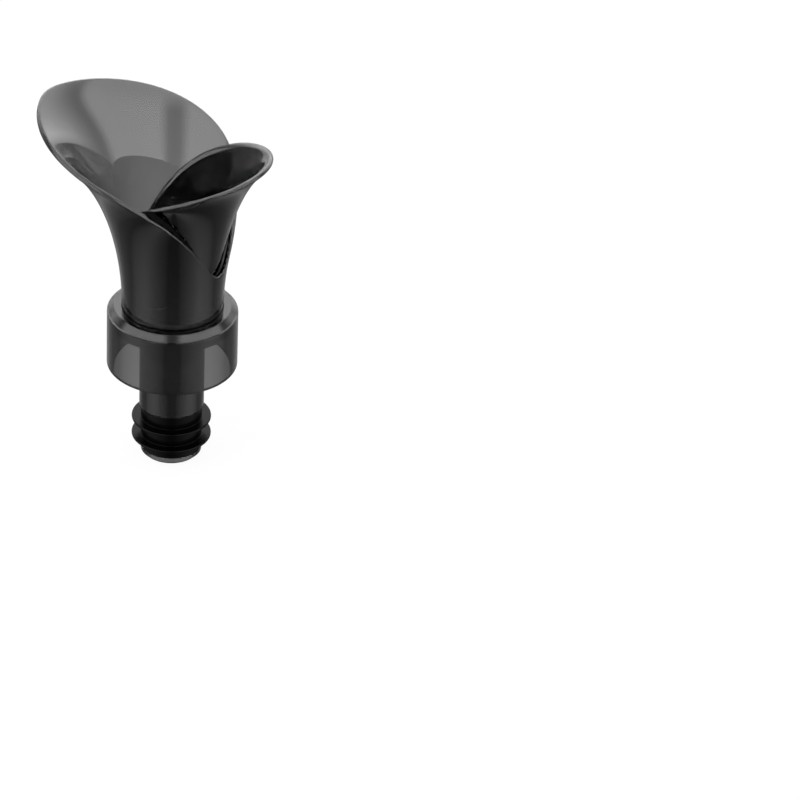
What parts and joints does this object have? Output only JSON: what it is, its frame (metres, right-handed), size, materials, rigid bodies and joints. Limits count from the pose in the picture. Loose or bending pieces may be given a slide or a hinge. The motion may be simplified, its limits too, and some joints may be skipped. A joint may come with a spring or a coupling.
{
  "type": "wine stopper pourer",
  "caption": "Bottle stopper and pourer: two nested trumpet petals on a collar and sealed stem; turning the inner petal opens or shuts the way.",
  "frame": {"origin": "centre of the stem's lower end, on the axis of the bottle's neck", "axes": "+Z along the axis, up out of the bottle; the tall petal rises towards +Y and its pouring lip faces -Y; +X is to the right when looking along +Y"},
  "size_m": [0.0532, 0.0662, 0.1001],
  "materials": {
    "smoke_plastic": "polished, smoke-clear",
    "black_rubber": "satin",
    "silicone": "translucent, matte"
  },
  "bodies": {
    "base": {"collar": "smoke_plastic", "stem_seal": "black_rubber", "port_seat": "smoke_plastic", "port_gasket": "silicone", "neck_ring": "silicone", "tall_petal": "smoke_plastic"},
    "spout": {"short_petal": "smoke_plastic", "port_disc": "smoke_plastic"}
  },
  "joints": [
    {"name": "petal_turn", "type": "hinge", "parent": "base", "child": "spout", "pos_m": [0, 0, 0.045], "axis": [0, 0, 1], "range_deg": [0, 180]}
  ]
}
